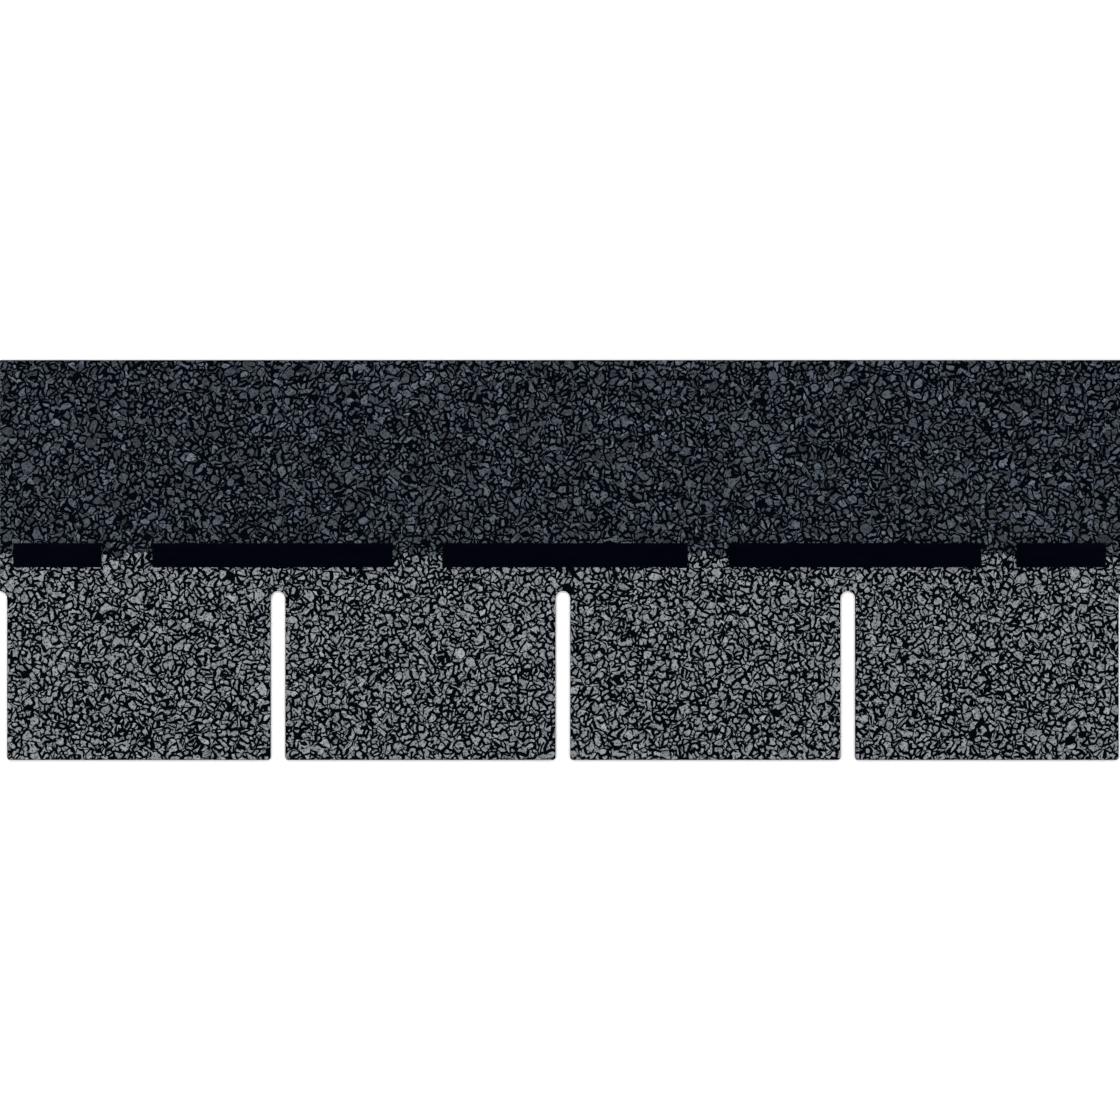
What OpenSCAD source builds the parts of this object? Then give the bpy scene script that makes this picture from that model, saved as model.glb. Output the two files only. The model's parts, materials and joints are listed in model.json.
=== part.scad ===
// Four-tab asphalt strip shingle, lying flat with its granule face up.
// X runs along the strip, Y runs up it from the tab edge to the head edge, and Z is up.
// The origin is under the middle of the strip, on the surface that it lies on.

/* [Sheet] */
// Length of the strip, from end to end
sheet_length = 1000; // [980:5:1100]
// Height of the strip, from the tab edge to the head edge
sheet_height = 355; // [310:5:420]
// Thickness of the strip, with its granules
sheet_thickness = 3; // [2:0.1:5]

/* [Tabs] */
// Spacing of the slots between the tabs, centre to centre
slot_spacing = 253; // [235:1:260]
// Width of a slot; the notch at each end of the strip is half of it
slot_width = 13; // [6:0.5:18]
// Length of a slot, from the tab edge to the crown of its round top
slot_length = 150; // [100:5:165]
// Radius of the outer corners of each tab
tab_corner_radius = 2.5; // [0.5:0.5:6]

/* [Seal strips] */
// Height of the seal line's lower edge above the tab edge
seal_height = 171; // [168:1:200]
// Width of a seal strip, measured up the sheet
seal_width = 21.5; // [12:0.5:30]
// Thickness of a seal strip, above the granules
seal_thickness = 0.8; // [0.4:0.1:1.5]
// Spacing of the gaps in the seal line, centre to centre
seal_gap_spacing = 258; // [250:1:262]
// Lengths of the four gaps in the seal line, from left to right
seal_gaps = [45, 44, 36, 31]; // [20:1:60]
// Bare sheet beyond the seal line, at the left end and at the right end
seal_margins = [12, 18]; // [5:1:30]

/* [Hidden] */
$fn = 64;

tab_count = 4;
sheet_left = -sheet_length / 2;
sheet_right = sheet_length / 2;
tab_edge = -sheet_height / 2;
slot_radius = slot_width / 2;
// Height of the centres of the slots' round tops
slot_arc_y = tab_edge + slot_length - slot_radius;
// Centres of the slots, with the half slot at each end of the strip
slot_centres = [
    sheet_left,
    for (i = [1 : tab_count - 1]) (i - tab_count / 2) * slot_spacing,
    sheet_right
];
// How far the tabs run up into the upper part, so that the two are one sheet
tab_root = 20;

gap_count = len(seal_gaps);
function gap_centre(i) = (i - (gap_count - 1) / 2) * seal_gap_spacing;
// The left end of each seal strip, from left to right
seal_starts = [
    sheet_left + seal_margins[0],
    for (i = [0 : gap_count - 1]) gap_centre(i) + seal_gaps[i] / 2
];
// The right end of each seal strip, from left to right
seal_ends = [
    for (i = [0 : gap_count - 1]) gap_centre(i) - seal_gaps[i] / 2,
    sheet_right - seal_margins[1]
];

// The part of the sheet above the tabs, with the slots' round tops cut into it
module upper_outline() {
    difference() {
        translate([sheet_left, slot_arc_y])
            square([sheet_length, sheet_height / 2 - slot_arc_y]);
        for (x = slot_centres)
            translate([x, slot_arc_y])
                circle(r = slot_radius);
    }
}

// One tab, from its left side to its right side, with both outer corners rounded
module tab_outline(left, right) {
    r = tab_corner_radius;
    for (x = [left + r, right - r])
        translate([x, tab_edge + r])
            circle(r = r);
    translate([left, tab_edge + r])
        square([right - left, slot_arc_y - tab_edge - r]);
    translate([left + r, tab_edge])
        square([right - left - 2 * r, slot_arc_y + tab_root - tab_edge]);
}

// The whole sheet in plan
module sheet_outline() {
    upper_outline();
    for (i = [0 : tab_count - 1])
        tab_outline(slot_centres[i] + slot_radius, slot_centres[i + 1] - slot_radius);
}

// The shingle itself: one sheet, cut from end to end in one stroke
module shingle_sheet() {
    color("#4d5357")
        linear_extrude(height = sheet_thickness)
            sheet_outline();
}

// One strip of sealant along the seal line
module seal_strip(i) {
    color("#08080c")
        translate([seal_starts[i], tab_edge + seal_height, sheet_thickness])
            cube([seal_ends[i] - seal_starts[i], seal_width, seal_thickness]);
}

shingle_sheet();
seal_strip(0);  // seal_strip_left_end
seal_strip(1);  // seal_strip_left
seal_strip(2);  // seal_strip_middle
seal_strip(3);  // seal_strip_right
seal_strip(4);  // seal_strip_right_end
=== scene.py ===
"""Looks of a four-tab asphalt strip shingle: bitumen sheet, slate granules, seal strips and stage."""
import json
import math
import random

import bmesh
import bpy
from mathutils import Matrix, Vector, kdtree, noise


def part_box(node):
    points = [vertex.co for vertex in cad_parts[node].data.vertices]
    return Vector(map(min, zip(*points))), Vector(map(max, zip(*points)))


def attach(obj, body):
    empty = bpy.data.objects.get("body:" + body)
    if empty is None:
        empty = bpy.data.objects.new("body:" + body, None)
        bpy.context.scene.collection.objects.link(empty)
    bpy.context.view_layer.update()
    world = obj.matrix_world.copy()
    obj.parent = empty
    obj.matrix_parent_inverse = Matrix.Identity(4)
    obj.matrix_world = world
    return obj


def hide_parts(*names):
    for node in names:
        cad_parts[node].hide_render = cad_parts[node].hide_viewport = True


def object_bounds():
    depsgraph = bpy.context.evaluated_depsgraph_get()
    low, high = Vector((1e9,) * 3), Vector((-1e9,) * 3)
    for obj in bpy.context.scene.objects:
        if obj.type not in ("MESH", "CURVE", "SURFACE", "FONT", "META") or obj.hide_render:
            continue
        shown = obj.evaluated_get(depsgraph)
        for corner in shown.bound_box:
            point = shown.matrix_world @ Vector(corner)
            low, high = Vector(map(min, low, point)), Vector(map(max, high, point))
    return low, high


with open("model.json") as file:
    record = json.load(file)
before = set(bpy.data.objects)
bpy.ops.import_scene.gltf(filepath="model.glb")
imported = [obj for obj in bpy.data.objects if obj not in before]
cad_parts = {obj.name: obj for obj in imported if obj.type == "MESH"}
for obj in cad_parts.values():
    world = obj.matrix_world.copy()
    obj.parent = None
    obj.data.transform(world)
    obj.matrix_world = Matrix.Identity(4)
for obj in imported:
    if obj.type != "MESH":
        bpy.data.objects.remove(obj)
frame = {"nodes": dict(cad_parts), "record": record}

CAD_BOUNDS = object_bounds()

bl_info = {
    "name": "Asphalt Strip Shingle",
    "version": (1, 0, 0),
    "blender": (4, 5, 0),
    "location": "3D View > Sidebar > Shingle",
    "description": "Builds the finish of a granule-surfaced bitumen strip shingle",
    "category": "Object",
}

MM = 0.001
BODY = "root"
SHEET_NODE = "shingle_sheet"
NODES = [row["node"] for row in frame["record"]["subparts"]]
SEAL_NODES = [node for node in NODES if node.startswith("seal_strip")]


def linear(hex_colour):
    """An sRGB hex colour such as "#91969a" as linear red, green and blue."""
    channels = (int(hex_colour[i:i + 2], 16) / 255 for i in (1, 3, 5))
    return tuple(c / 12.92 if c <= 0.04045 else ((c + 0.055) / 1.055) ** 2.4 for c in channels)


def add_node(tree, kind, settings=None, inputs=None):
    """Add a node, set its own settings, and set or link its inputs by name or number."""
    node = tree.nodes.new(kind)
    for name, value in (settings or {}).items():
        setattr(node, name, value)
    for key, value in (inputs or {}).items():
        if isinstance(value, bpy.types.NodeSocket):
            tree.links.new(value, node.inputs[key])
        else:
            node.inputs[key].default_value = value
    return node


# ---------------------------------------------------------------- settings


class SheetSettings(bpy.types.PropertyGroup):
    """Sizes and colours of the bitumen sheet under the granules."""

    bed_height: bpy.props.FloatProperty(
        name="Bed Height", description="Height of the bitumen that the granules are pressed into",
        default=2.1 * MM, unit="LENGTH")
    edge_round: bpy.props.FloatProperty(
        name="Edge Round", description="Radius that the cutting die leaves on the bitumen's edges",
        default=0.2 * MM, unit="LENGTH")
    bitumen: bpy.props.FloatVectorProperty(
        name="Bitumen", description="Colour of the oxidised bitumen",
        default=linear("#03060a"), subtype="COLOR", size=3)
    sand: bpy.props.FloatVectorProperty(
        name="Back Sand", description="Colour of the fine sand that is rolled into the back",
        default=linear("#4a4a48"), subtype="COLOR", size=3)


class GranuleSettings(bpy.types.PropertyGroup):
    """Sizes and colours of the slate granules."""

    seed: bpy.props.IntProperty(
        name="Seed", description="Start of every random draw for the granules", default=7)
    gap: bpy.props.FloatProperty(
        name="Gap", description="Usual width of the bitumen seen between two granules",
        default=1.7 * MM, unit="LENGTH")
    edge_margin: bpy.props.FloatProperty(
        name="Edge Margin", description="Bare bitumen between the cut edge and the outermost granules",
        default=0.35 * MM, unit="LENGTH")
    height: bpy.props.FloatProperty(
        name="Height", description="Height of the granules' tops above the back of the sheet",
        default=2.95 * MM, unit="LENGTH")
    height_spread: bpy.props.FloatProperty(
        name="Height Spread",
        description="How far a granule's top may lie above or below the usual height",
        default=0.2 * MM, unit="LENGTH")
    tilt: bpy.props.FloatProperty(
        name="Tilt", description="Largest slope of a granule's top",
        default=math.radians(2), unit="ROTATION")
    rim: bpy.props.FloatProperty(
        name="Rim", description="Width of the broken rim round a granule's top",
        default=0.35 * MM, unit="LENGTH")
    boundary_height: bpy.props.FloatProperty(
        name="Boundary Height",
        description="Height above the tab edge where the two granule colours meet",
        default=182 * MM, unit="LENGTH")
    boundary_wander: bpy.props.FloatProperty(
        name="Boundary Wander", description="How far the line between the two colours strays",
        default=1.5 * MM, unit="LENGTH")
    head_colour: bpy.props.FloatVectorProperty(
        name="Head Colour", description="Usual colour of the granules on the covered part",
        default=linear("#3b4149"), subtype="COLOR", size=3)
    tab_colour: bpy.props.FloatVectorProperty(
        name="Tab Colour", description="Usual colour of the granules on the tabs",
        default=linear("#75797d"), subtype="COLOR", size=3)
    head_spread: bpy.props.FloatProperty(
        name="Head Spread",
        description="How much one granule of the covered part differs from the next in tone",
        default=0.41)
    tab_spread: bpy.props.FloatProperty(
        name="Tab Spread", description="How much one granule of the tabs differs from the next in tone",
        default=0.13)
    head_cast: bpy.props.FloatProperty(
        name="Head Cast",
        description="How far the covered part's colour swings from grey-green to blue-grey",
        default=0.05)
    tab_cast: bpy.props.FloatProperty(
        name="Tab Cast", description="How far the tabs' colour swings from grey-green to blue-grey",
        default=0.01)


class SealSettings(bpy.types.PropertyGroup):
    """Shape and colour of the seal strips."""

    edge_round: bpy.props.FloatProperty(
        name="Edge Round", description="Radius of the strips' upper edges",
        default=0.7 * MM, unit="LENGTH")
    edge_wave: bpy.props.FloatProperty(
        name="Edge Wave", description="How far a strip's edge strays from straight",
        default=0.25 * MM, unit="LENGTH")
    colour: bpy.props.FloatVectorProperty(
        name="Colour", description="Colour of the seal bitumen", default=linear("#000107"),
        subtype="COLOR", size=3)


class StageSettings(bpy.types.PropertyGroup):
    """Floor, lights and camera."""

    floor_size: bpy.props.FloatProperty(
        name="Floor Size", description="Width of the round floor", default=5.6, unit="LENGTH")
    floor_colour: bpy.props.FloatVectorProperty(
        name="Floor", description="Colour of the matt white floor", default=linear("#f2f2f2"),
        subtype="COLOR", size=3)
    light_power: bpy.props.FloatProperty(
        name="Light Power", description="Power of each softbox", default=64.0, unit="POWER")
    ceiling_glow: bpy.props.FloatProperty(
        name="Ceiling Glow", description="Strength of the light from the ceiling", default=0.15)
    wall_glow: bpy.props.FloatProperty(
        name="Wall Glow", description="Strength of the light from the walls", default=1.0)
    lens: bpy.props.FloatProperty(
        name="Lens", description="Focal length of the camera in millimetres", default=120.0)


# ---------------------------------------------------------------- shared steps


def finished_piece(name, mesh, material, replaced=None):
    """Put a finished mesh into the scene and tie it to the body."""
    piece = bpy.data.objects.new(name, mesh)
    bpy.context.collection.objects.link(piece)
    if material is not None:
        mesh.materials.clear()
        mesh.materials.append(material)
    if replaced:
        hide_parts(replaced)
    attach(piece, BODY)
    return piece


# Points closer than this are one point, and faces whose heights differ by less lie in one plane
SAME_POINT = 0.001 * MM
SAME_PLANE = 0.01 * MM
# Least upward share of the normal of a face that looks up
LOOKS_UP = 0.9


def sheet_outline():
    """The sheet's outline in plan, counter-clockwise, from the upper face of its CAD solid."""
    bm = bmesh.new()
    bm.from_mesh(frame["nodes"][SHEET_NODE].data)
    bmesh.ops.remove_doubles(bm, verts=bm.verts, dist=SAME_POINT)
    top = max(v.co.z for v in bm.verts)
    upper = {f for f in bm.faces
             if f.normal.z > LOOKS_UP and top - f.calc_center_median().z < SAME_PLANE}
    following = {}
    for face in upper:
        for loop in face.loops:
            if not any(other in upper for other in loop.edge.link_faces if other is not face):
                following[loop.vert.index] = loop.link_loop_next.vert.index
    places = {v.index: (v.co.x, v.co.y) for v in bm.verts}
    bm.free()
    first = min(following)
    outline, index = [], first
    while not outline or index != first:
        outline.append(places[index])
        index = following[index]
    return outline


def clip(shape, px, py, nx, ny):
    """Cut a shape along the line through (px, py), and drop the side that (nx, ny) points to."""
    sides = [(x - px) * nx + (y - py) * ny for x, y in shape]
    if not sides or max(sides) <= 0:
        return shape
    kept = []
    for i, (ax, ay) in enumerate(shape):
        bx, by = shape[(i + 1) % len(shape)]
        a, b = sides[i], sides[(i + 1) % len(shape)]
        if a <= 0:
            kept.append((ax, ay))
        if a * b < 0:
            t = a / (a - b)
            kept.append((ax + (bx - ax) * t, ay + (by - ay) * t))
    return kept


def area_of(shape):
    """Area of a shape whose points run counter-clockwise."""
    return 0.5 * sum(
        ax * by - bx * ay for (ax, ay), (bx, by) in zip(shape, shape[1:] + shape[:1]))


# ---------------------------------------------------------------- materials


# Widths of the patches, spots and grains that are drawn in the materials
PATCH_WIDTH = 9 * MM
MOTTLE_WIDTH = 2 * MM
# Spacing of the dark spots painted as the shade of pits
PIT_SHADE_SPACING = 3.8 * MM
GRIT_WIDTH = 0.5 * MM
LUMP_WIDTH = 1.5 * MM
SAND_WIDTH = 0.9 * MM
SWELL_WIDTH = 7 * MM
# How far up a granule's side it is darkened: painted shade in the gaps between granules, and bitumen that
# has crept up
STAIN_AND_SHADE_HEIGHT = 0.55 * MM
# Points of the tone curve: a granule's draw, and how many spreads its tone is from the usual one
TONES = ((0.0, -1.5), (0.15, -0.7), (0.5, 0.0), (0.85, 1.0), (0.97, 1.7), (1.0, 3.4))


def new_material(name):
    """A material with a Principled shader, and its tree and shader."""
    material = bpy.data.materials.new(name)
    material.use_nodes = True
    tree = material.node_tree
    return material, tree, next(n for n in tree.nodes if n.type == "BSDF_PRINCIPLED")


def slate_granules(name, colour, spread, cast, foot):
    """Crushed, ceramic-coated slate: a tone per granule, a painted highlight on the rim, painted shade in
    pits, and painted shade with crept-up bitumen at the foot.
    """
    material, tree, shader = new_material(name)
    shader.inputs["Roughness"].default_value = 0.85
    shader.inputs["Specular IOR Level"].default_value = 0.2
    place = add_node(tree, "ShaderNodeTexCoord").outputs["Object"]
    tone = add_node(tree, "ShaderNodeAttribute", {"attribute_name": "tone"}).outputs["Fac"]
    rim = add_node(tree, "ShaderNodeAttribute", {"attribute_name": "rim"}).outputs["Fac"]
    # Tone of the whole granule, from the dull ones to the fresh pale ones
    ramp = add_node(tree, "ShaderNodeValToRGB", inputs={"Fac": tone})
    while len(ramp.color_ramp.elements) < len(TONES):
        ramp.color_ramp.elements.new(0.5)
    for element, (position, departure) in zip(ramp.color_ramp.elements, TONES):
        element.position = position
        element.color = (*(c * (1 + departure * spread) for c in colour), 1)
    # Patches in which the coat is a little greener or bluer
    patches = add_node(tree, "ShaderNodeTexNoise", inputs={
        "Vector": place, "Scale": 1 / PATCH_WIDTH, "Detail": 1.0})
    tint = add_node(tree, "ShaderNodeValToRGB", inputs={"Fac": patches.outputs["Fac"]})
    green = (1 - 0.3 * cast, 1 + 0.3 * cast, 1 - cast)
    blue = (1 - 0.3 * cast, 1 - 0.1 * cast, 1 + cast)
    for element, position, shade in zip(tint.color_ramp.elements, (0.4, 0.6), (green, blue)):
        element.position = position
        element.color = (*shade, 1)
    tinted = add_node(tree, "ShaderNodeVectorMath", {"operation": "MULTIPLY"}, {
        0: ramp.outputs["Color"], 1: tint.outputs["Color"]})
    # Mottling across a granule
    mottle = add_node(tree, "ShaderNodeTexNoise", inputs={
        "Vector": place, "Scale": 1 / MOTTLE_WIDTH, "Detail": 2.0, "Roughness": 0.6})
    mottle_strength = add_node(tree, "ShaderNodeMapRange", inputs={
        "Value": mottle.outputs["Fac"],
        "From Min": 0.36, "From Max": 0.64, "To Min": 0.62, "To Max": 1.26})
    # Painted shade of pits: dark spots about 1.2 mm across, drawn coarse enough to be seen
    pits = add_node(tree, "ShaderNodeTexVoronoi", {"voronoi_dimensions": "2D"}, {
        "Vector": place, "Scale": 1 / PIT_SHADE_SPACING})
    pit_shade_strength = add_node(tree, "ShaderNodeMapRange", inputs={
        "Value": pits.outputs["Distance"],
        "From Min": 0.13, "From Max": 0.24, "To Min": 0.12, "To Max": 1.0})
    # Painted highlight: the rim round each granule's top is painted up to a quarter paler
    rim_highlight_strength = add_node(tree, "ShaderNodeMapRange", inputs={
        "Value": rim, "To Min": 1.0, "To Max": 1.25})
    # Painted shade in the gaps between granules, with bitumen that has crept up the foot of each granule:
    # the side darkens downwards
    height = add_node(tree, "ShaderNodeSeparateXYZ", inputs={0: place}).outputs["Z"]
    stain_and_shade_strength = add_node(tree, "ShaderNodeMapRange", inputs={
        "Value": height,
        "From Min": foot, "From Max": foot + STAIN_AND_SHADE_HEIGHT, "To Min": 0.2, "To Max": 1.0})
    # The real mottling, times the painted shade of pits, the painted rim highlight and the painted shade
    # at the foot
    strength = mottle_strength.outputs["Result"]
    for factor in (pit_shade_strength, rim_highlight_strength, stain_and_shade_strength):
        strength = add_node(tree, "ShaderNodeMath", {"operation": "MULTIPLY"}, {
            0: strength, 1: factor.outputs["Result"]}).outputs["Value"]
    shaded = add_node(tree, "ShaderNodeVectorMath", {"operation": "SCALE"}, {
        0: tinted.outputs["Vector"], "Scale": strength})
    tree.links.new(shaded.outputs["Vector"], shader.inputs["Base Color"])
    grit = add_node(tree, "ShaderNodeTexNoise", inputs={
        "Vector": place, "Scale": 1 / GRIT_WIDTH, "Detail": 2.0})
    bump = add_node(tree, "ShaderNodeBump", inputs={
        "Strength": 0.5, "Distance": 0.1 * MM, "Height": grit.outputs["Fac"]})
    tree.links.new(bump.outputs["Normal"], shader.inputs["Normal"])
    return material


def oxidised_bitumen(settings):
    """Air-blown bitumen with limestone filler: dead black, and lumpy where it squeezed up."""
    material, tree, shader = new_material("oxidised_bitumen")
    shader.inputs["Specular IOR Level"].default_value = 0.0
    place = add_node(tree, "ShaderNodeTexCoord").outputs["Object"]
    lumps = add_node(tree, "ShaderNodeTexNoise", inputs={
        "Vector": place, "Scale": 1 / LUMP_WIDTH, "Detail": 3.0})
    tint = add_node(tree, "ShaderNodeValToRGB", inputs={"Fac": lumps.outputs["Fac"]})
    for element, strength in zip(tint.color_ramp.elements, (0.5, 1.6)):
        element.color = (*(c * strength for c in settings.bitumen), 1)
    tree.links.new(tint.outputs["Color"], shader.inputs["Base Color"])
    gloss = add_node(tree, "ShaderNodeMapRange", inputs={
        "Value": lumps.outputs["Fac"], "To Min": 0.7, "To Max": 0.9})
    tree.links.new(gloss.outputs["Result"], shader.inputs["Roughness"])
    bump = add_node(tree, "ShaderNodeBump", inputs={
        "Strength": 0.8, "Distance": 0.2 * MM, "Height": lumps.outputs["Fac"]})
    tree.links.new(bump.outputs["Normal"], shader.inputs["Normal"])
    return material


def sanded_back(settings):
    """Fine sand rolled into the hot bitumen of the back, a dull grey grit."""
    material, tree, shader = new_material("sanded_bitumen_back")
    shader.inputs["Roughness"].default_value = 0.95
    shader.inputs["Specular IOR Level"].default_value = 0.2
    place = add_node(tree, "ShaderNodeTexCoord").outputs["Object"]
    grit = add_node(tree, "ShaderNodeTexNoise", inputs={
        "Vector": place, "Scale": 1 / SAND_WIDTH, "Detail": 3.0, "Roughness": 0.7})
    tint = add_node(tree, "ShaderNodeValToRGB", inputs={"Fac": grit.outputs["Fac"]})
    for element, position, colour in zip(
            tint.color_ramp.elements, (0.4, 0.62), (settings.bitumen, settings.sand)):
        element.position = position
        element.color = (*colour, 1)
    tree.links.new(tint.outputs["Color"], shader.inputs["Base Color"])
    bump = add_node(tree, "ShaderNodeBump", inputs={
        "Strength": 0.7, "Distance": 0.2 * MM, "Height": grit.outputs["Fac"]})
    tree.links.new(bump.outputs["Normal"], shader.inputs["Normal"])
    return material


def seal_bitumen(settings):
    """Rubber-modified bitumen, poured hot: near black with a blue cast, satin, with soft swells."""
    material, tree, shader = new_material("sbs_seal_bitumen")
    shader.inputs["Specular IOR Level"].default_value = 0.02
    place = add_node(tree, "ShaderNodeTexCoord").outputs["Object"]
    # Swells dragged out along the strip as it was poured
    drawn = add_node(tree, "ShaderNodeMapping", inputs={"Vector": place, "Scale": (0.35, 1, 1)})
    swell = add_node(tree, "ShaderNodeTexNoise", inputs={
        "Vector": drawn.outputs[0], "Scale": 1 / SWELL_WIDTH, "Detail": 4.0, "Roughness": 0.55})
    tint = add_node(tree, "ShaderNodeValToRGB", inputs={"Fac": swell.outputs["Fac"]})
    for element, strength in zip(tint.color_ramp.elements, (0.7, 1.3)):
        element.color = (*(c * strength for c in settings.colour), 1)
    tree.links.new(tint.outputs["Color"], shader.inputs["Base Color"])
    gloss = add_node(tree, "ShaderNodeMapRange", inputs={
        "Value": swell.outputs["Fac"], "To Min": 0.25, "To Max": 0.55})
    tree.links.new(gloss.outputs["Result"], shader.inputs["Roughness"])
    bump = add_node(tree, "ShaderNodeBump", inputs={
        "Strength": 1.0, "Distance": 0.6 * MM, "Height": swell.outputs["Fac"]})
    tree.links.new(bump.outputs["Normal"], shader.inputs["Normal"])
    return material


def studio_floor(settings):
    """Matt white studio board."""
    material, _, shader = new_material("matt_white_board")
    shader.inputs["Roughness"].default_value = 0.9
    shader.inputs["Base Color"].default_value = (*settings.floor_colour, 1)
    return material


# ---------------------------------------------------------------- sheet


# Most that a sharp corner moves, as a multiple of the inset
CORNER_REACH = 2
# Number of steps in each rounded edge
ARC_STEPS = 3


def ring_inset(outline, inset):
    """The outline moved inwards by the inset, point by point."""
    moved = []
    for i, (x, y) in enumerate(outline):
        before, after = outline[i - 1], outline[(i + 1) % len(outline)]
        into = Vector((x - before[0], y - before[1])).normalized()
        out_of = Vector((after[0] - x, after[1] - y)).normalized()
        # Both edges' left sides face inwards on a counter-clockwise outline
        normal = Vector((-into.y - out_of.y, into.x + out_of.x)).normalized()
        reach = inset / max(1 / CORNER_REACH, normal.dot(Vector((-into.y, into.x))))
        moved.append((x + normal.x * reach, y + normal.y * reach))
    return moved


def sheet_body_mesh(outline, settings):
    """The bitumen sheet: a closed slab with rounded upper and lower edges. Material 1 is the back."""
    top, r = settings.bed_height, settings.edge_round
    arcs = [(r * (1 - math.cos(a)), r * (1 - math.sin(a)))
            for a in (math.pi / 2 * i / ARC_STEPS for i in range(ARC_STEPS + 1))]
    # (inset, height) pairs from the back's rim up to the face's rim
    lower_edge = [(drop, lift) for lift, drop in arcs]
    levels = lower_edge + [(drop, top - lift) for drop, lift in reversed(lower_edge)]
    bm = bmesh.new()
    rings = []
    for inset, height in levels:
        rings.append([bm.verts.new((x, y, height)) for x, y in ring_inset(outline, inset)])
    count = len(outline)
    for lower, upper in zip(rings, rings[1:]):
        for i in range(count):
            j = (i + 1) % count
            bm.faces.new((lower[i], lower[j], upper[j], upper[i]))
    bm.faces.new(rings[-1])
    back = bm.faces.new(list(reversed(rings[0])))
    back.material_index = 1
    bm.normal_update()
    bmesh.ops.triangulate(bm, faces=[f for f in bm.faces if len(f.verts) > 4])
    mesh = bpy.data.meshes.new("sheet_body")
    bm.to_mesh(mesh)
    bm.free()
    return mesh


class SHINGLE_OT_sheet(bpy.types.Operator):
    """Build the bitumen sheet that carries the granules"""

    bl_idname = "shingle.sheet"
    bl_label = "Bitumen Sheet"

    def execute(self, context):
        settings = context.scene.shingle_sheet
        mesh = sheet_body_mesh(sheet_outline(), settings)
        mesh.materials.append(oxidised_bitumen(settings))
        mesh.materials.append(sanded_back(settings))
        finished_piece("bitumen_sheet", mesh, None, SHEET_NODE)
        return {"FINISHED"}


# ---------------------------------------------------------------- granules


# Size classes of the granules: least radius, largest radius and number in a square metre
GRANULE_SIZES = (
    (3.5 * MM, 4.6 * MM, 1400),
    (2.4 * MM, 3.5 * MM, 7500),
    (1.8 * MM, 2.4 * MM, 22000),
    (1.2 * MM, 1.8 * MM, 26000),
)
# Least distance of two granules, as a share of their radii added up, and tries at finding a place
CROWDING = 0.8
TRIES = 14
# Half the side of the square that a granule is cut from, and the number of others that cut it
REACH = 9 * MM
NEIGHBOURS = 24
# Least and most that a granule leaves bare on its own side, as a share of half the gap
GAP_SPREAD = (0.65, 1.35)
# Share of the granules that were pressed into one of their nearest few, and how far they overlap
PRESSED_SHARE = 0.52
NEAREST_FEW = 4
OVERLAP = 0.25 * MM
# Share of the granules up to this radius that have come off and left a bare spot
LOST_SHARE = 0.02
LOST_RADIUS = 2.1 * MM
# Granules over this area may have cleaved in two, and how many of them have
CLEAVE_AREA = 18 * MM * MM
CLEAVE_SHARE = 0.3
# A crack's width as a share of the usual gap, its turn from the granule's length in radians, and how
# far from the middle it lies as a share of half the granule's width
CRACK_WIDTH = 0.8
CRACK_TURN = 0.5
CRACK_OFFSET = 0.2
# Granules over this area may have a bite out of a side of at least this length, and how many of them have
BITE_AREA = 9 * MM * MM
BITE_SIDE = 1.6 * MM
BITE_SHARE = 0.55
# Least and most depth of a bite, as a share of the way to the granule's middle
BITE_DEPTH = (0.56, 1.2)
# Half the mouth of a bite, as a share of the side, and its most
BITE_HALF_SHARE = 0.32
BITE_HALF = 0.9 * MM
# Crumbs under this area have been brushed off
CRUMB_AREA = 1.0 * MM * MM
# Least mean width of a granule, which leaves out needles
THINNEST = 0.3 * MM
# Distance between the swirls of the layout, and how far they shift it
WARP_SCALE = 8 * MM
WARP_REACH = 4.5 * MM
# Sides shorter than this are worn away, and longer sides than the second are bent near the middle
SHORT_SIDE = 0.7 * MM
LONG_SIDE = 2.2 * MM
# Usual bend outwards, its spread, and the most that it slides along, all as shares of the side
BEND = -0.04
BEND_SPREAD = 0.11
BEND_SLIDE = 0.2
# How far a granule's corners stray
CORNER_SPREAD = 0.12 * MM
# Number of cuts that may bring a granule inside the sheet's outline
TRIM_CUTS = 4
# Shape of a granule's rim: its drop as a share of its width, how far the wall under it is drawn in as
# another, and the least that is left of the top, as a share of the granule
RIM_DROP = 0.7
RIM_DRAW = 0.25
LEAST_TOP = 0.3
# How deep the granules' feet are sunk in the bitumen, and how far above them the tilt begins
SUNK = 0.3 * MM
TILT_START = 0.05 * MM
# Points of a granule that are closer than this are joined
JOINED = 0.005 * MM
# Granules this far under a seal strip on all sides are left out
COVER = 1.0 * MM
# Least downward share of the normal of a granule's underside
UNDERSIDE = 0.5
# Length of the bends in the line between the two colours
WANDER_LENGTH = 20 * MM


class Outline:
    """The sheet's outline, with its distance from any point near it."""

    cell = 10 * MM

    def __init__(self, points):
        self.near = {}
        for (ax, ay), (bx, by) in zip(points, points[1:] + points[:1]):
            length = math.hypot(bx - ax, by - ay)
            dx, dy = (bx - ax) / length, (by - ay) / length
            for step in range(int(length / self.cell) + 2):
                along = min(step * self.cell, length)
                cx, cy = int((ax + dx * along) // self.cell), int((ay + dy * along) // self.cell)
                for key in ((ix, iy) for ix in (cx - 1, cx, cx + 1) for iy in (cy - 1, cy, cy + 1)):
                    self.near.setdefault(key, set()).add((ax, ay, dx, dy, length))

    def nearest(self, x, y):
        """The outline's nearest point, the outward direction there, and how far inside (x, y) is."""
        best = None
        for ax, ay, dx, dy, length in self.near.get((int(x // self.cell), int(y // self.cell)), ()):
            along = min(max((x - ax) * dx + (y - ay) * dy, 0.0), length)
            px, py = ax + dx * along, ay + dy * along
            # The sheet is on the left of each side, because the outline runs counter-clockwise
            depth = (y - ay) * dx - (x - ax) * dy
            # At a corner two sides are equally near, to the nanometre, and the greater depth decides
            order = (round(math.hypot(x - px, y - py), 9), -abs(depth))
            if best is None or order < best[0]:
                best = (order, px, py, dy, -dx, math.copysign(order[0], depth))
        return best[1:] if best else None


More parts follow.
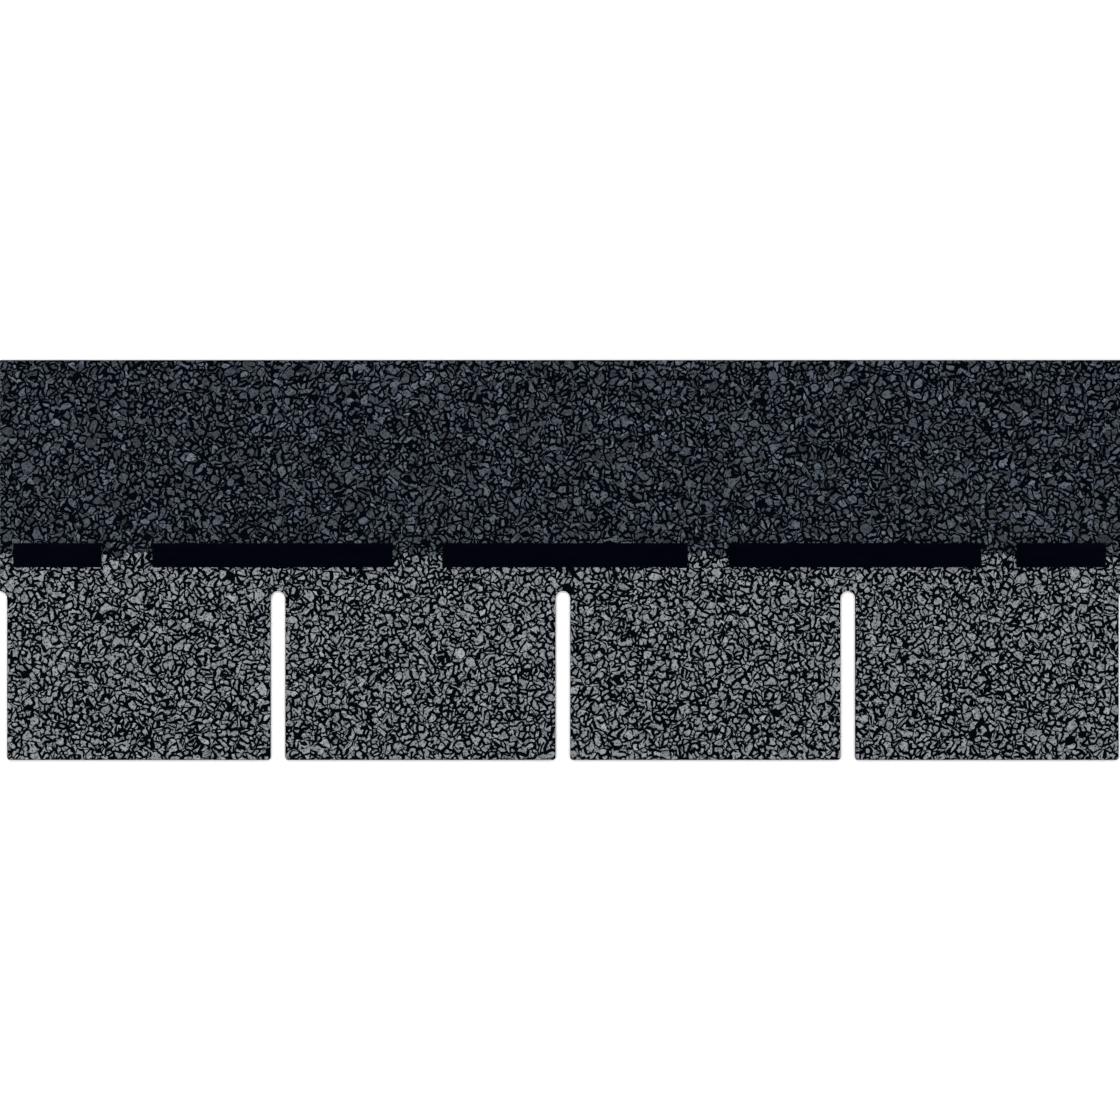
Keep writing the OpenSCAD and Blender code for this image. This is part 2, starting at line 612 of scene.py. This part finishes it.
def scatter(rng, low, high):
    """Centres and radii of the granules, large ones first, each one clear of those before it."""
    grid_size = 2 * GRANULE_SIZES[0][1]
    grid, seeds = {}, []
    area = (high.x - low.x) * (high.y - low.y)
    for least, most, density in GRANULE_SIZES:
        for _ in range(int(density * area)):
            radius = rng.uniform(least, most)
            for _ in range(TRIES):
                x, y = rng.uniform(low.x, high.x), rng.uniform(low.y, high.y)
                cx, cy = int(x // grid_size), int(y // grid_size)
                others = (s for ix in (cx - 1, cx, cx + 1) for iy in (cy - 1, cy, cy + 1)
                          for s in grid.get((ix, iy), ()))
                if all((x - sx) ** 2 + (y - sy) ** 2 > (CROWDING * (radius + sr)) ** 2
                       for sx, sy, sr in others):
                    grid.setdefault((cx, cy), []).append((x, y, radius))
                    seeds.append((x, y, radius))
                    break
    return seeds


def middle_of(shape):
    """The mean of a shape's points."""
    return sum(x for x, _ in shape) / len(shape), sum(y for _, y in shape) / len(shape)


def trim(shape, outline, margin):
    """Cut a granule back to the sheet's outline, less a margin."""
    nearest = outline.nearest(*middle_of(shape))
    for _ in range(TRIM_CUTS):
        if nearest is None or len(shape) < 3:
            break
        px, py, nx, ny, _ = nearest
        shape = clip(shape, px - nx * margin, py - ny * margin, nx, ny)
        # The point that lies furthest out decides the next cut, if it is more than half into the margin
        found = [f for f in (outline.nearest(x, y) for x, y in shape) if f and f[4] < margin / 2]
        nearest = min(found, key=lambda f: f[4]) if found else None
    return shape


def cleave(rng, shape, gap):
    """Split a granule in two, roughly along its length."""
    cx, cy = middle_of(shape)
    fx, fy = max(shape, key=lambda p: (p[0] - cx) ** 2 + (p[1] - cy) ** 2)
    angle = math.atan2(fy - cy, fx - cx) + rng.gauss(0, CRACK_TURN)
    nx, ny = -math.sin(angle), math.cos(angle)
    across = [(x - cx) * nx + (y - cy) * ny for x, y in shape]
    low, width = min(across), max(across) - min(across)
    crack = low + width * (1 + rng.uniform(-CRACK_OFFSET, CRACK_OFFSET)) / 2
    near = clip(shape, cx + nx * (crack - gap / 2), cy + ny * (crack - gap / 2), nx, ny)
    far = clip(shape, cx + nx * (crack + gap / 2), cy + ny * (crack + gap / 2), -nx, -ny)
    return [part for part in (near, far) if len(part) > 2]


def weather(rng, shape):
    """Break up a granule's sides: short ones go, long ones bend, and some have a bite out of them."""
    shape = [p for p, q in zip(shape, shape[1:] + shape[:1]) if math.dist(p, q) > SHORT_SIDE]
    if len(shape) < 3:
        return shape
    cx, cy = middle_of(shape)
    may_be_bitten = area_of(shape) > BITE_AREA and rng.random() < BITE_SHARE
    bitten = rng.randrange(len(shape)) if may_be_bitten else None
    broken = []
    for i, (ax, ay) in enumerate(shape):
        bx, by = shape[(i + 1) % len(shape)]
        side = math.hypot(bx - ax, by - ay)
        dx, dy = (bx - ax) / side, (by - ay) / side
        broken.append((ax + rng.gauss(0, CORNER_SPREAD), ay + rng.gauss(0, CORNER_SPREAD)))
        mx, my = (ax + bx) / 2, (ay + by) / 2
        if i == bitten and side > BITE_SIDE:
            # A wedge that runs from this side towards the middle
            depth = rng.uniform(*BITE_DEPTH)
            tip = (mx + (cx - mx) * depth, my + (cy - my) * depth)
            half = min(side * BITE_HALF_SHARE, BITE_HALF)
            broken += [(mx - dx * half, my - dy * half), tip, (mx + dx * half, my + dy * half)]
        elif side > LONG_SIDE:
            bend = rng.gauss(BEND, BEND_SPREAD) * side
            slide = rng.uniform(-BEND_SLIDE, BEND_SLIDE) * side
            # The right of a counter-clockwise side is outside the granule
            broken.append((mx + dx * slide + dy * bend, my + dy * slide - dx * bend))
    return broken


def warp(x, y, seed):
    """Where the sheet's flow has moved a point of the even layout to."""
    along = noise.noise(Vector((x / WARP_SCALE, y / WARP_SCALE, seed)))
    up = noise.noise(Vector((x / WARP_SCALE, y / WARP_SCALE, -seed)))
    return x + along * WARP_REACH, y + up * WARP_REACH


def is_sound(shape):
    """Whether a granule is wide enough to stay whole, and its sides neither cross nor touch."""
    area = area_of(shape)
    around = sum(math.dist(p, q) for p, q in zip(shape, shape[1:] + shape[:1]))
    if area < CRUMB_AREA or 2 * area / around < THINNEST:
        return False
    count = len(shape)

    def turn(p, q, r):
        return (q[0] - p[0]) * (r[1] - p[1]) - (q[1] - p[1]) * (r[0] - p[0])

    for i in range(count):
        a, b = shape[i], shape[(i + 1) % count]
        for j in range(i + 2, count - (i == 0)):
            c, d = shape[j], shape[(j + 1) % count]
            if turn(a, b, c) * turn(a, b, d) <= 0 and turn(c, d, a) * turn(c, d, b) <= 0:
                return False
    return True


def granule_shapes(settings, outline_points, low, high):
    """Outlines in plan of all the granules: a power diagram of their centres, with gaps left in it."""
    rng = random.Random(settings.seed)
    outline = Outline(outline_points)
    beyond = Vector((REACH, REACH, 0))
    seeds = scatter(rng, low - beyond, high + beyond)
    tree = kdtree.KDTree(len(seeds))
    for i, (x, y, _) in enumerate(seeds):
        tree.insert((x, y, 0), i)
    tree.balance()
    around = [tree.find_n((x, y, 0), NEIGHBOURS)[1:] for x, y, _ in seeds]
    pressed = {frozenset((i, rng.choice(around[i][:NEAREST_FEW])[1])) for i in range(len(seeds))
               if rng.random() < PRESSED_SHARE}
    corners = ((-1, -1), (1, -1), (1, 1), (-1, 1))
    shapes = []
    for i, (x, y, radius) in enumerate(seeds):
        half_gap = settings.gap / 2 * rng.uniform(*GAP_SPREAD)
        if radius < LOST_RADIUS and rng.random() < LOST_SHARE:
            continue
        shape = [(x + REACH * right, y + REACH * up) for right, up in corners]
        for _, j, distance in around[i]:
            ox, oy, other = seeds[j]
            nx, ny = (ox - x) / distance, (oy - y) / distance
            reach = (distance + (radius ** 2 - other ** 2) / distance) / 2
            reach += OVERLAP / 2 if frozenset((i, j)) in pressed else -half_gap
            shape = clip(shape, x + nx * reach, y + ny * reach, nx, ny)
        parts = [shape] if len(shape) > 2 else []
        if parts and area_of(shape) > CLEAVE_AREA and rng.random() < CLEAVE_SHARE:
            parts = cleave(rng, shape, settings.gap * CRACK_WIDTH)
        for part in parts:
            # The rough outline where it holds together, and otherwise the plain one
            for sides in (weather(rng, part), part):
                chip = [warp(px, py, settings.seed) for px, py in sides]
                chip = trim(chip, outline, settings.edge_margin) if len(chip) > 2 else chip
                if len(chip) > 2 and is_sound(chip):
                    px, py = middle_of(chip)
                    if low.x < px < high.x and low.y < py < high.y:
                        shapes.append(chip)
                    break
    return shapes


def granule_relief_tree():
    """Geometry nodes that grow a closed, bevelled and tilted granule on every face of a flat mesh."""
    tree = bpy.data.node_groups.new("Granule Relief", "GeometryNodeTree")
    sockets = tree.interface
    sockets.new_socket("Geometry", in_out="INPUT", socket_type="NodeSocketGeometry")
    for name in ("Foot Height", "Top Height", "Height Spread", "Slope", "Rim"):
        sockets.new_socket(name, in_out="INPUT", socket_type="NodeSocketFloat")
    sockets.new_socket("Seed", in_out="INPUT", socket_type="NodeSocketInt")
    sockets.new_socket("Material", in_out="INPUT", socket_type="NodeSocketMaterial")
    sockets.new_socket("Geometry", in_out="OUTPUT", socket_type="NodeSocketGeometry")
    given = add_node(tree, "NodeGroupInput").outputs

    def calc(operation, *values):
        node = add_node(tree, "ShaderNodeMath", {"operation": operation}, dict(enumerate(values)))
        return node.outputs[0]

    index = add_node(tree, "GeometryNodeInputIndex").outputs[0]
    position = add_node(tree, "GeometryNodeInputPosition").outputs[0]
    area = add_node(tree, "GeometryNodeInputMeshFaceArea").outputs[0]
    seeds = [calc("ADD", given["Seed"], float(step)) for step in range(3)]
    lift = add_node(tree, "FunctionNodeRandomValue", {"data_type": "FLOAT"}, {
        2: -1.0, 3: 1.0, "ID": index, "Seed": seeds[0]}).outputs[1]
    lean = add_node(tree, "FunctionNodeRandomValue", {"data_type": "FLOAT_VECTOR"}, {
        0: (-1, -1, 0), 1: (1, 1, 0), "ID": index, "Seed": seeds[1]}).outputs[0]
    tone = add_node(tree, "FunctionNodeRandomValue", {"data_type": "FLOAT"}, {
        2: 0.0, 3: 1.0, "ID": index, "Seed": seeds[2]}).outputs[1]
    radius = calc("SQRT", calc("DIVIDE", area, math.pi))
    # Values that stay the same all over one granule while its mesh is built
    kept = add_node(tree, "GeometryNodeCaptureAttribute", {"domain": "FACE"}, {
        "Geometry": given["Geometry"]})
    for name, kind, field in (
            ("Centre", "VECTOR", position), ("Radius", "FLOAT", radius), ("Lift", "FLOAT", lift),
            ("Lean", "VECTOR", lean), ("Tone", "FLOAT", tone)):
        kept.capture_items.new(kind, name)
        tree.links.new(field, kept.inputs[name])
    kept = kept.outputs
    foot = add_node(tree, "GeometryNodeSetPosition", inputs={
        "Geometry": kept["Geometry"],
        "Offset": add_node(tree, "ShaderNodeCombineXYZ", inputs={"Z": given["Foot Height"]}).outputs[0],
    }).outputs[0]
    # The side wall, up to the shoulder and drawn in a little, so that it slopes
    rim_drop = calc("MULTIPLY", given["Rim"], RIM_DROP)
    full_rise = calc("SUBTRACT", given["Top Height"], given["Foot Height"])
    wall_rise = calc("ADD", calc("SUBTRACT", full_rise, rim_drop),
                     calc("MULTIPLY", kept["Lift"], given["Height Spread"]))
    wall = add_node(tree, "GeometryNodeExtrudeMesh", {"mode": "FACES"}, {
        "Mesh": foot, "Offset Scale": wall_rise})
    rim_share = calc("DIVIDE", given["Rim"], kept["Radius"])
    drawn_in = add_node(tree, "GeometryNodeScaleElements", inputs={
        "Geometry": wall.outputs["Mesh"], "Selection": wall.outputs["Top"],
        "Scale": calc("SUBTRACT", 1.0, calc("MULTIPLY", rim_share, RIM_DRAW))})
    # The broken rim, from the shoulder in to the flat top
    cap = add_node(tree, "GeometryNodeExtrudeMesh", {"mode": "FACES"}, {
        "Mesh": drawn_in.outputs[0], "Selection": wall.outputs["Top"], "Offset Scale": rim_drop})
    topped = add_node(tree, "GeometryNodeScaleElements", inputs={
        "Geometry": cap.outputs["Mesh"], "Selection": cap.outputs["Top"],
        "Scale": calc("MAXIMUM", calc("SUBTRACT", 1.0, rim_share), LEAST_TOP)})
    # The foot's own face, turned over, closes each granule underneath
    underside = add_node(tree, "GeometryNodeFlipFaces", inputs={"Mesh": foot}).outputs[0]
    joined = add_node(tree, "GeometryNodeJoinGeometry")
    tree.links.new(topped.outputs[0], joined.inputs[0])
    tree.links.new(underside, joined.inputs[0])
    closed = add_node(tree, "GeometryNodeMergeByDistance", inputs={
        "Geometry": joined.outputs[0], "Distance": JOINED}).outputs[0]
    # Tilt everything above the foot about the granule's middle
    away = add_node(tree, "ShaderNodeVectorMath", {"operation": "SUBTRACT"}, {
        0: position, 1: kept["Centre"]})
    slope = add_node(tree, "ShaderNodeVectorMath", {"operation": "DOT_PRODUCT"}, {
        0: away.outputs[0], 1: kept["Lean"]}).outputs["Value"]
    height = add_node(tree, "ShaderNodeSeparateXYZ", inputs={0: position}).outputs["Z"]
    tilted = add_node(tree, "GeometryNodeSetPosition", inputs={
        "Geometry": closed,
        "Selection": calc("GREATER_THAN", height, calc("ADD", given["Foot Height"], TILT_START)),
        "Offset": add_node(tree, "ShaderNodeCombineXYZ", inputs={
            "Z": calc("MULTIPLY", slope, given["Slope"])}).outputs[0]}).outputs[0]
    marked = tilted
    for name, value in (("tone", kept["Tone"]), ("rim", calc("SUBTRACT", 1.0, cap.outputs["Top"]))):
        marked = add_node(tree, "GeometryNodeStoreNamedAttribute", {
            "data_type": "FLOAT", "domain": "POINT"}, {
            "Geometry": marked, "Name": name, "Value": value}).outputs[0]
    real = add_node(tree, "GeometryNodeRealizeInstances", inputs={"Geometry": marked}).outputs[0]
    painted = add_node(tree, "GeometryNodeSetMaterial", inputs={
        "Geometry": real, "Material": given["Material"]}).outputs[0]
    add_node(tree, "NodeGroupOutput", inputs={"Geometry": painted})
    return tree


def grown(name, flat_mesh, tree, values):
    """Run a geometry tree on a mesh, and give back the plain mesh that it makes."""
    holder = bpy.data.objects.new(name, flat_mesh)
    bpy.context.collection.objects.link(holder)
    modifier = holder.modifiers.new(tree.name, "NODES")
    modifier.node_group = tree
    for item in tree.interface.items_tree:
        if item.in_out == "INPUT" and item.name in values:
            modifier[item.identifier] = values[item.name]
    depsgraph = bpy.context.evaluated_depsgraph_get()
    mesh = bpy.data.meshes.new_from_object(holder.evaluated_get(depsgraph), depsgraph=depsgraph)
    bpy.data.objects.remove(holder)
    mesh.name = name
    return mesh


def flat_mesh_of(name, shapes):
    """A flat mesh with one separate face for each shape."""
    corners = [(x, y, 0) for shape in shapes for x, y in shape]
    faces, start = [], 0
    for shape in shapes:
        faces.append(range(start, start + len(shape)))
        start += len(shape)
    mesh = bpy.data.meshes.new(name)
    mesh.from_pydata(corners, [], faces)
    return mesh


def plan_map(mesh):
    """A UV map seen from above. Each underside takes the spot under its granule's middle."""
    xs = [v.co.x for v in mesh.vertices]
    ys = [v.co.y for v in mesh.vertices]
    low_x, low_y = min(xs), min(ys)
    side = max(max(xs) - low_x, max(ys) - low_y)
    layer = mesh.uv_layers.new(name="OFBake")
    for face in mesh.polygons:
        looks_down = face.normal.z < -UNDERSIDE
        for loop in face.loop_indices:
            corner = mesh.vertices[mesh.loops[loop].vertex_index].co
            spot = face.center if looks_down else corner
            layer.data[loop].uv = ((spot.x - low_x) / side, (spot.y - low_y) / side)


class SHINGLE_OT_granules(bpy.types.Operator):
    """Press the slate granules into the face: dark ones on the covered part, paler ones on the tabs"""

    bl_idname = "shingle.granules"
    bl_label = "Slate Granules"

    def execute(self, context):
        settings = context.scene.shingle_granules
        low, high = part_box(SHEET_NODE)
        low, high = Vector(low), Vector(high)
        pads = [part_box(node) for node in SEAL_NODES]

        def hidden(shape):
            return any(
                all(a[0] + COVER < x < b[0] - COVER and a[1] + COVER < y < b[1] - COVER for x, y in shape)
                for a, b in pads)

        slots = sorted((box["box_m"][0][0] + box["box_m"][1][0]) / 2
                       for box in frame["record"]["physics"]["openings"])
        groups = {}
        for shape in granule_shapes(settings, sheet_outline(), low, high):
            if hidden(shape):
                continue
            x, y = middle_of(shape)
            wander = noise.noise(Vector((x / WANDER_LENGTH, 0, 0))) * settings.boundary_wander
            zone = "head" if y - low.y > settings.boundary_height + wander else "tab"
            column = sum(x > slot for slot in slots) + 1
            groups.setdefault((zone, column), []).append(shape)
        bed = context.scene.shingle_sheet.bed_height
        materials = {
            "head": slate_granules(
                "charcoal_slate_granules", settings.head_colour, settings.head_spread,
                settings.head_cast, bed),
            "tab": slate_granules(
                "grey_slate_granules", settings.tab_colour, settings.tab_spread,
                settings.tab_cast, bed),
        }
        tree = granule_relief_tree()
        for (zone, column), shapes in sorted(groups.items()):
            name = f"{zone}_granules_{column}"
            # The seeds are spaced out so that no two pieces share a draw
            mesh = grown(name, flat_mesh_of(name, shapes), tree, {
                "Foot Height": bed - SUNK,
                "Top Height": settings.height,
                "Height Spread": settings.height_spread,
                "Slope": math.tan(settings.tilt),
                "Rim": settings.rim,
                "Seed": settings.seed + 10 * column + (100 if zone == "head" else 0),
                "Material": materials[zone],
            })
            if not mesh.polygons:
                raise RuntimeError(f"{name} came out empty")
            plan_map(mesh)
            finished_piece(name, mesh, materials[zone])
        return {"FINISHED"}


# ---------------------------------------------------------------- seal strips


# Spacing of the points across a strip, and the band at its edge that wavers
STRIP_STEP = 3 * MM
WAVE_BAND = 3 * MM
# Length of the waves of the edge, and length, width and height of the swells of the top
WAVE_LENGTH = 6 * MM
SWELL = (14 * MM, 9 * MM, 0.06 * MM)
# How deep the strips' feet are sunk in the bitumen
STRIP_SUNK = 0.1 * MM


def seal_strip_mesh(name, low, high, foot, settings):
    """A poured strip: a pad with rounded upper edges, wavering sides and a slightly uneven top."""
    r = settings.edge_round
    middle_x, middle_y = (low.x + high.x) / 2, (low.y + high.y) / 2
    long, wide, tall = SWELL
    # Distances in from the strip's edge at which its upper edge is drawn
    inner = [r * (1 - math.cos(math.pi / 2 * i / ARC_STEPS)) for i in range(ARC_STEPS + 1)]

    def stations(start, end):
        count = max(2, round((end - start - 2 * r) / STRIP_STEP))
        middle = [start + r + (end - start - 2 * r) * i / count for i in range(1, count)]
        return [start + d for d in inner] + middle + [end - d for d in reversed(inner)]

    xs, ys = stations(low.x, high.x), stations(low.y, high.y)

    def height(x, y):
        inward = min(x - low.x, high.x - x, y - low.y, high.y - y)
        fall = r - math.sqrt(max(0.0, r * r - max(0.0, r - inward) ** 2))
        swell = noise.noise(Vector((x / long, y / wide, 3))) * tall
        return high.z - tall - fall + swell

    def place(x, y, z):
        near_side = 1 - min(1.0, min(y - low.y, high.y - y) / WAVE_BAND)
        near_end = 1 - min(1.0, min(x - low.x, high.x - x) / WAVE_BAND)
        side = noise.noise(Vector((x / WAVE_LENGTH, 0 if y < middle_y else 9, 5)))
        end = noise.noise(Vector((y / WAVE_LENGTH, 0 if x < middle_x else 9, 7)))
        wave = settings.edge_wave
        return (x + end * wave * near_end, y + side * wave * near_side, z)

    bm = bmesh.new()
    upper = [[bm.verts.new(place(x, y, height(x, y))) for y in ys] for x in xs]
    for i in range(len(xs) - 1):
        for j in range(len(ys) - 1):
            bm.faces.new((upper[i][j], upper[i + 1][j], upper[i + 1][j + 1], upper[i][j + 1]))
    last_x, last_y = len(xs) - 1, len(ys) - 1
    rim = ([upper[i][0] for i in range(last_x)]
           + [upper[last_x][j] for j in range(last_y)]
           + [upper[i][last_y] for i in range(last_x, 0, -1)]
           + [upper[0][j] for j in range(last_y, 0, -1)])
    lower = [bm.verts.new((v.co.x, v.co.y, foot)) for v in rim]
    for i in range(len(rim)):
        j = (i + 1) % len(rim)
        bm.faces.new((lower[i], lower[j], rim[j], rim[i]))
    bm.faces.new(list(reversed(lower)))
    bm.normal_update()
    bmesh.ops.triangulate(bm, faces=[f for f in bm.faces if len(f.verts) > 4])
    mesh = bpy.data.meshes.new(name)
    bm.to_mesh(mesh)
    bm.free()
    mesh.shade_smooth()
    return mesh


class SHINGLE_OT_seals(bpy.types.Operator):
    """Lay the seal strips along the seal line"""

    bl_idname = "shingle.seals"
    bl_label = "Seal Strips"

    def execute(self, context):
        settings = context.scene.shingle_seal
        material = seal_bitumen(settings)
        foot = context.scene.shingle_sheet.bed_height - STRIP_SUNK
        for node in SEAL_NODES:
            low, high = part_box(node)
            mesh = seal_strip_mesh("poured_" + node, Vector(low), Vector(high), foot, settings)
            finished_piece("poured_" + node, mesh, material, node)
        return {"FINISHED"}


# ---------------------------------------------------------------- stage


# How far inside the strip's left end the picture starts, and its width as a share of the strip's
FRAME_START = 0.5 * MM
FRAME_SHARE = 0.9939
# Sines of the heights at which the walls begin to fade and the ceiling starts
WALL_TOP = 0.3
CEILING_START = 0.75
FLOOR_SIDES = 96
# Softboxes: name, direction in degrees, and share of the power
SOFTBOXES = (("key", 120, 1.0), ("fill", -60, 0.55), ("side", 25, 0.7), ("rear", 205, 0.7))
SOFTBOX_SIZE = (1.8, 1.2)
SOFTBOX_HEIGHT = math.radians(42)
SOFTBOX_DISTANCE = 3.4


class SHINGLE_OT_stage(bpy.types.Operator):
    """Set the pale floor, the softboxes and a camera that looks straight down"""

    bl_idname = "shingle.stage"
    bl_label = "Stage"

    def execute(self, context):
        settings = context.scene.shingle_stage
        low, high = (Vector(corner) for corner in CAD_BOUNDS)
        disc = bmesh.new()
        bmesh.ops.create_circle(
            disc, cap_ends=True, segments=FLOOR_SIDES, radius=settings.floor_size / 2)
        mesh = bpy.data.meshes.new("studio_floor")
        disc.to_mesh(mesh)
        disc.free()
        mesh.materials.append(studio_floor(settings))
        floor = bpy.data.objects.new("studio_floor", mesh)
        context.collection.objects.link(floor)

        # Softboxes stand to the sides, so that none is mirrored straight up in the black strips
        for name, azimuth, share in SOFTBOXES:
            lamp = bpy.data.lights.new(name, "AREA")
            lamp.shape = "RECTANGLE"
            lamp.size, lamp.size_y = SOFTBOX_SIZE
            lamp.energy = settings.light_power * share
            box = bpy.data.objects.new(name, lamp)
            around, up = math.radians(azimuth), SOFTBOX_HEIGHT
            level = math.cos(up)
            away = Vector((math.cos(around) * level, math.sin(around) * level, math.sin(up)))
            box.location = away * SOFTBOX_DISTANCE
            box.rotation_euler = away.to_track_quat("Z", "Y").to_euler()
            context.collection.objects.link(box)

        # White walls round the floor, and a dim ceiling, so that the black strips stay black from above
        world = bpy.data.worlds.new("studio_room")
        world.use_nodes = True
        tree = world.node_tree
        background = next(n for n in tree.nodes if n.type == "BACKGROUND")
        background.inputs["Color"].default_value = (1, 1, 1, 1)
        upward = add_node(tree, "ShaderNodeSeparateXYZ", inputs={
            0: add_node(tree, "ShaderNodeTexCoord").outputs["Generated"]}).outputs["Z"]
        glow = add_node(tree, "ShaderNodeMapRange", inputs={
            "Value": upward, "From Min": WALL_TOP, "From Max": CEILING_START,
            "To Min": settings.wall_glow, "To Max": settings.ceiling_glow})
        tree.links.new(glow.outputs["Result"], background.inputs["Strength"])
        context.scene.world = world

        camera = bpy.data.cameras.new("camera")
        camera.lens = settings.lens
        # The frame leaves out a hair of the strip's left end and a few millimetres of its right end
        frame_width = (high.x - low.x) * FRAME_SHARE
        distance = frame_width / 2 / math.tan(camera.angle / 2)
        holder = bpy.data.objects.new("camera", camera)
        middle = low.x + FRAME_START + frame_width / 2
        holder.location = (middle, (low.y + high.y) / 2, high.z + distance)
        context.collection.objects.link(holder)
        context.scene.camera = holder
        context.scene.view_settings.view_transform = "Standard"
        return {"FINISHED"}


class SHINGLE_PT_panel(bpy.types.Panel):
    """The shingle's settings and the steps that build it"""

    bl_idname = "SHINGLE_PT_panel"
    bl_label = "Strip Shingle"
    bl_space_type = "VIEW_3D"
    bl_region_type = "UI"
    bl_category = "Shingle"

    def draw(self, context):
        for operator, group in STEPS:
            box = self.layout.box()
            settings = getattr(context.scene, group)
            for name in settings.__annotations__:
                box.prop(settings, name)
            box.operator(operator.bl_idname)


GROUPS = {
    "shingle_sheet": SheetSettings,
    "shingle_granules": GranuleSettings,
    "shingle_seal": SealSettings,
    "shingle_stage": StageSettings,
}
STEPS = (
    (SHINGLE_OT_sheet, "shingle_sheet"),
    (SHINGLE_OT_granules, "shingle_granules"),
    (SHINGLE_OT_seals, "shingle_seal"),
    (SHINGLE_OT_stage, "shingle_stage"),
)
CLASSES = (*GROUPS.values(), *(operator for operator, _ in STEPS), SHINGLE_PT_panel)


def register():
    for cls in CLASSES:
        bpy.utils.register_class(cls)
    for name, group in GROUPS.items():
        setattr(bpy.types.Scene, name, bpy.props.PointerProperty(type=group))


def unregister():
    for name in GROUPS:
        delattr(bpy.types.Scene, name)
    for cls in reversed(CLASSES):
        bpy.utils.unregister_class(cls)


def main():
    """Build every piece in order."""
    register()
    bpy.ops.shingle.sheet()
    bpy.ops.shingle.granules()
    bpy.ops.shingle.seals()
    bpy.ops.shingle.stage()


if __name__ == "__main__":
    main()
